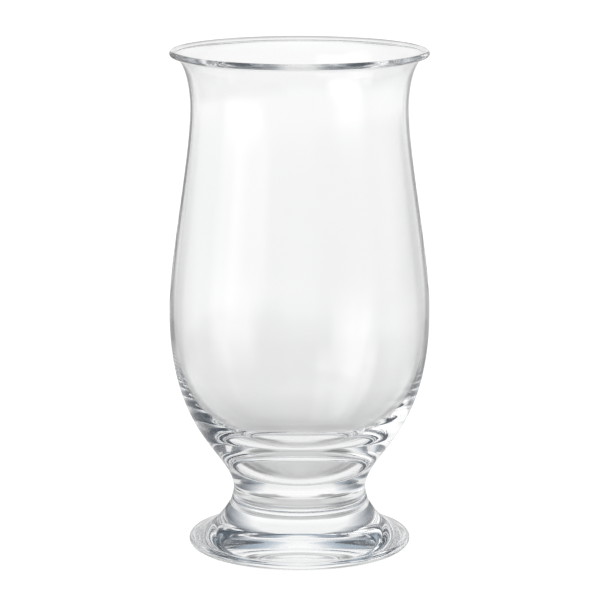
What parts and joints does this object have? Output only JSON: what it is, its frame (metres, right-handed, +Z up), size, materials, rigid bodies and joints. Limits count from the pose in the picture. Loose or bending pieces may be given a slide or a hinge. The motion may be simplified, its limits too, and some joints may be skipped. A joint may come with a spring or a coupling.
{
  "type": "stemmed beer glass",
  "caption": "Clear tulip beer glass: blown bowl with a turned-out lip and a beaded rim, fused to a short solid waisted stem and a flared round foot with a shallow hollow underneath.",
  "frame": {"origin": "middle of the standing ring under the foot, on the table plane", "axes": "+Z up along the axis of the glass, +X and +Y level; the glass is round, so -Y is only the side that the picture looks at"},
  "size_m": [0.0781, 0.078, 0.15],
  "materials": {
    "bowl_glass": "clear, polished",
    "stem_glass": "clear, polished",
    "foot_glass": "clear, polished"
  },
  "bodies": {
    "root": {"bowl": "bowl_glass", "stem": "stem_glass", "foot": "foot_glass"}
  },
  "joints": []
}
